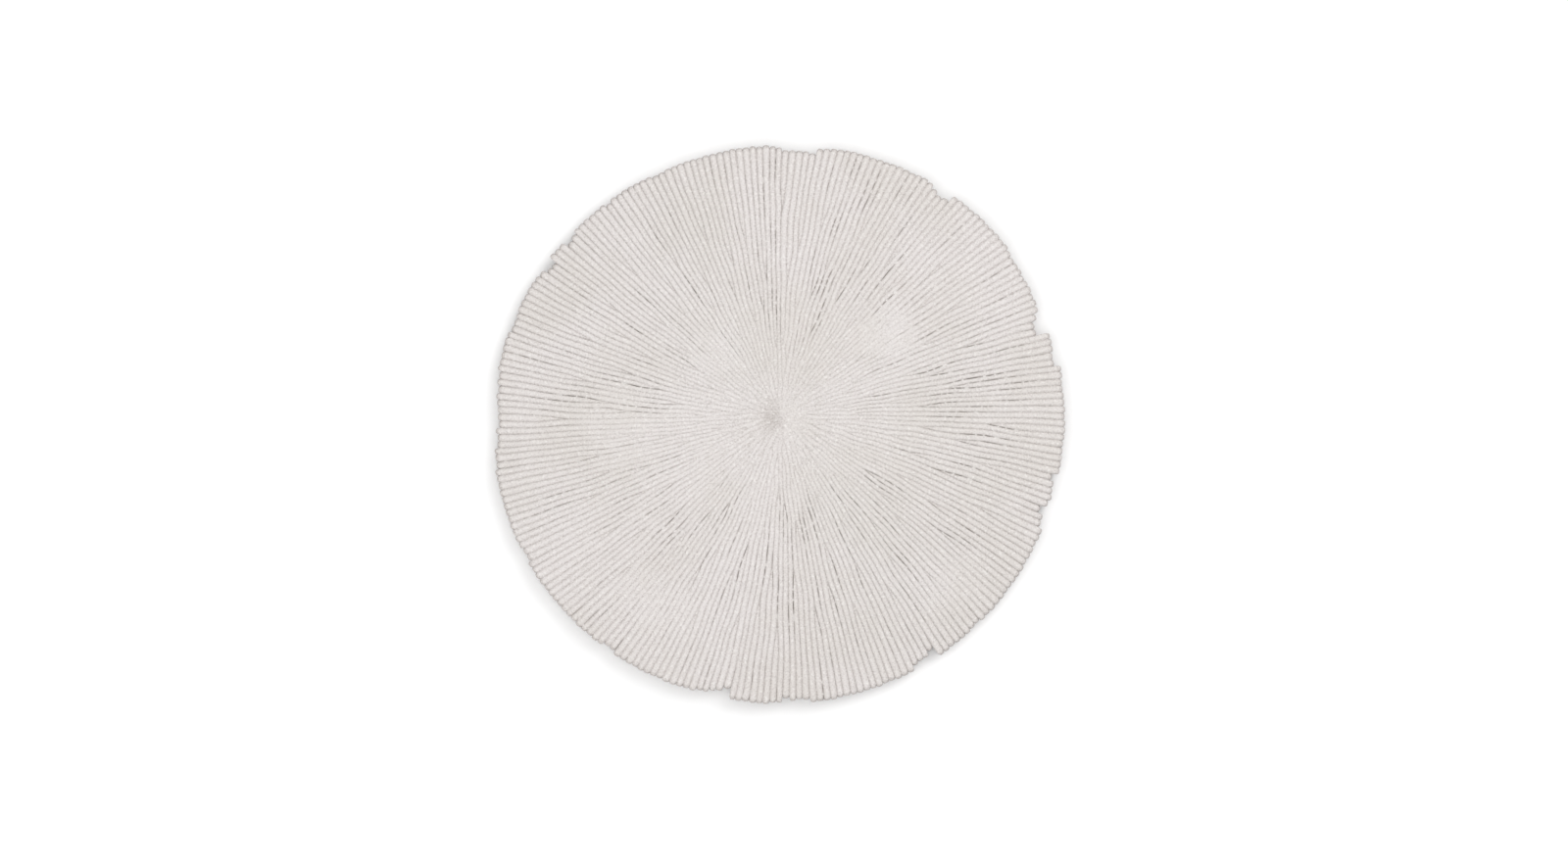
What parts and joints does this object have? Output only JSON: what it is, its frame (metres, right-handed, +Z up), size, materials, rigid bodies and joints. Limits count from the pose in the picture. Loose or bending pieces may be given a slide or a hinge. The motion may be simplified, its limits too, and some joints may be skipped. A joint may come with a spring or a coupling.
{
  "type": "mushroom coral disc",
  "caption": "Round, flat coral skeleton with close ribs fanning out from a small oval scar to a chipped, scalloped rim, lying on a worn flat underside.",
  "frame": {"origin": "on the resting plane, under the middle of the disc's outline", "axes": "+Z up out of the ribbed upper side, +Y towards the top of the picture, +X towards its right"},
  "size_m": [0.131, 0.1282, 0.011],
  "materials": {
    "bleached_coral": "matt, fine-grained, warm off-white, unglazed"
  },
  "bodies": {
    "root": {"coral_disc": "bleached_coral"}
  },
  "joints": []
}
